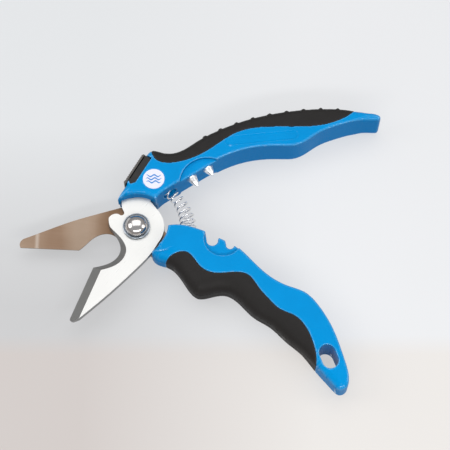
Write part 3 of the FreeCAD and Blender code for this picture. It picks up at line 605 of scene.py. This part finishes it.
def return_spring():
    """Coil whose axis is bent round the pivot, closed at both ends, wider and tighter below."""
    reach, wire, turns, per_turn = 20.5 * MM, 0.32 * MM, 11, 36
    top, bottom = math.radians(58.5), math.radians(-12.0)
    narrow, widening, full_from = 1.9 * MM, 1.2 * MM, 0.65
    open_pitch, tightening, squeeze, end_share = 1.2, 0.4, 0.6, 0.07
    shares = np.linspace(0.0, 1.0, turns * per_turn + 1)
    closed_ends = squeeze * (np.exp(-(shares / end_share) ** 2) + np.exp(-((1 - shares) / end_share) ** 2))
    pitch = open_pitch - tightening * shares - closed_ends
    wound = np.concatenate(([0.0], np.cumsum((pitch[1:] + pitch[:-1]) / 2)))
    wound /= wound[-1]
    path = []
    for share, along in zip(shares, wound):
        angle = top + (bottom - top) * along
        turn = 2 * math.pi * turns * share
        coil = narrow + widening * min(1.0, share / full_from)
        out = reach + coil * math.cos(turn)
        path.append((out * math.cos(angle), out * math.sin(angle), MIDDLE + coil * math.sin(turn)))
    piece = tube("coil_spring", path, wire)
    paint(piece, "spring_steel")
    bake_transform(piece)
    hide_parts("return_spring")


return_spring()


# ---------------------------------------------------------------- badge

def badge_mark():
    """Three plain wave strokes across the badge."""
    centre = centre_of("badge_disc")
    low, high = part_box("badge_disc")
    radius = (high.x - low.x) / 2
    spacing, margin, thick, swing = 1.35 * MM, 1.1 * MM, 0.30 * MM, 0.42 * MM
    waviness, lag, steps = 2.1 / MM, 0.6, 40
    levels = (high.z - 0.02 * MM, high.z + 0.05 * MM)
    vertices, faces = [], []
    for row in range(3):
        offset = (row - 1) * spacing
        half = math.sqrt(radius ** 2 - offset ** 2) - margin
        first = len(vertices)
        for step in range(steps + 1):
            along = -half + 2 * half * step / steps
            wave = offset + swing * math.sin(along * waviness + row * lag)
            taper = thick * (1 - (2 * step / steps - 1) ** 4)
            for side in (-1, 1):
                for level in levels:
                    vertices.append((centre.x + along, centre.y + wave + side * taper, level))
        for step in range(steps):
            a, b = first + step * 4, first + step * 4 + 4
            faces += [(a + 1, b + 1, b + 3, a + 3), (a, a + 2, b + 2, b), (a, b, b + 1, a + 1),
                      (a + 2, a + 3, b + 3, b + 2)]
    piece = new_piece("badge_mark", vertices, faces, smooth=False)
    paint(piece, "badge_ink")
    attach(piece, UPPER)


badge_mark()


# ---------------------------------------------------------------- floor, light and camera

def floor():
    """Pale paper that glows a little, like a lit table, so that shadows stay faint.

    Its colour is painted brighter to the right and at the back, as painted light, and warmer along the near
    side.
    """
    m = Nodes("floor_paper")
    # painted light: the colour rises towards the right and the back
    right = m.ramp(m.axis("X"), -0.02, 0.07, 0.0, 1.0)
    back = m.ramp(m.axis("Y"), -0.03, 0.05, 0.0, 1.0)
    near_side = m.ramp(m.axis("Y"), -0.050, -0.042, 1.0, 0.0)
    front_tone = m.mix(right, rgb(204, 204, 205), rgb(239, 240, 242))
    back_tone = m.mix(right, rgb(228, 230, 232), rgb(235, 236, 238))
    cool = m.mix(back, front_tone, back_tone)
    warm = m.mix(right, rgb(209, 201, 197), rgb(238, 234, 230))
    clean = m.mix(near_side, cool, warm)
    paper = m.mix(m.ramp(m.noise(6.0, 2.0), 0.3, 0.7, 0.0, 0.15), clean, rgb(216, 217, 219))
    darkened, glow = 0.70, 0.66
    m.set(Base_Color=m.mix(darkened, paper, (0.0, 0.0, 0.0, 1.0)))
    m.set(Emission_Color=paper, Emission_Strength=glow)
    m.set(Roughness=0.85, Normal=m.bump(m.noise(900.0), 0.06, 0.0001))
    size, gap = 3.0, 0.0002
    piece = new_piece("floor", [(-size, -size, 0), (size, -size, 0), (size, size, 0), (-size, size, 0)],
                      [(0, 1, 2, 3)], smooth=False)
    piece.location.z = -gap
    piece.data.materials.append(m.material)


def area_light(name, place, target, size, power, colour):
    """Soft rectangular lamp that faces a target."""
    lamp = bpy.data.lights.new(name, "AREA")
    lamp.shape = "RECTANGLE"
    lamp.size, lamp.size_y = size
    lamp.energy = power
    lamp.color = colour
    holder = bpy.data.objects.new(name, lamp)
    bpy.context.scene.collection.objects.link(holder)
    holder.location = place
    holder.rotation_euler = (Vector(target) - Vector(place)).to_track_quat("-Z", "Y").to_euler()


def sky():
    """Soft room light, a little warmer from below than from above."""
    world = bpy.data.worlds.new("studio")
    bpy.context.scene.world = world
    world.use_nodes = True
    tree = world.node_tree
    back = tree.nodes["Background"]
    coords = tree.nodes.new("ShaderNodeTexCoord")
    split = tree.nodes.new("ShaderNodeSeparateXYZ")
    ramp = tree.nodes.new("ShaderNodeValToRGB")
    tree.links.new(coords.outputs["Generated"], split.inputs[0])
    tree.links.new(split.outputs["Z"], ramp.inputs[0])
    tree.links.new(ramp.outputs["Color"], back.inputs["Color"])
    ramp.color_ramp.elements[0].color = (0.62, 0.58, 0.55, 1)
    ramp.color_ramp.elements[1].color = (0.95, 0.97, 1.0, 1)
    ramp.color_ramp.elements[1].position = 0.7
    back.inputs["Strength"].default_value = 0.48


def camera():
    """Looks down on the tool from the near side, at 67 degrees above the table."""
    elevation, distance = math.radians(67.0), 0.55
    target = Vector((0.0352, 0.0018, 0.0072))
    back = Vector((0.0, -math.cos(elevation), math.sin(elevation)))
    data = bpy.data.cameras.new("camera")
    data.sensor_width = 36.0
    data.lens = 110.0
    holder = bpy.data.objects.new("camera", data)
    bpy.context.scene.collection.objects.link(holder)
    holder.location = target + back * distance
    holder.rotation_mode = "QUATERNION"
    holder.rotation_quaternion = (-back).to_track_quat("-Z", "Y")
    data.clip_start, data.clip_end = 0.01, 10.0
    bpy.context.scene.camera = holder


floor()
area_light("sky_panel", (0.0, 0.34, 0.80), (0.03, 0, 0), (1.0, 0.7), 3.0, (1.0, 1.0, 1.0))
area_light("left_window", (-0.55, 0.05, 0.45), (0.02, 0, 0), (0.35, 0.35), 1.2, (1.0, 0.99, 0.97))
area_light("right_window", (0.60, 0.0, 0.35), (0.02, 0, 0), (0.25, 0.35), 0.7, (1.0, 0.99, 0.97))
area_light("front_strip", (0.10, -0.50, 0.45), (0.03, 0, 0), (0.8, 0.08), 2.0, (1.0, 1.0, 1.0))
sky()
camera()
bpy.context.scene.view_settings.view_transform = "Standard"
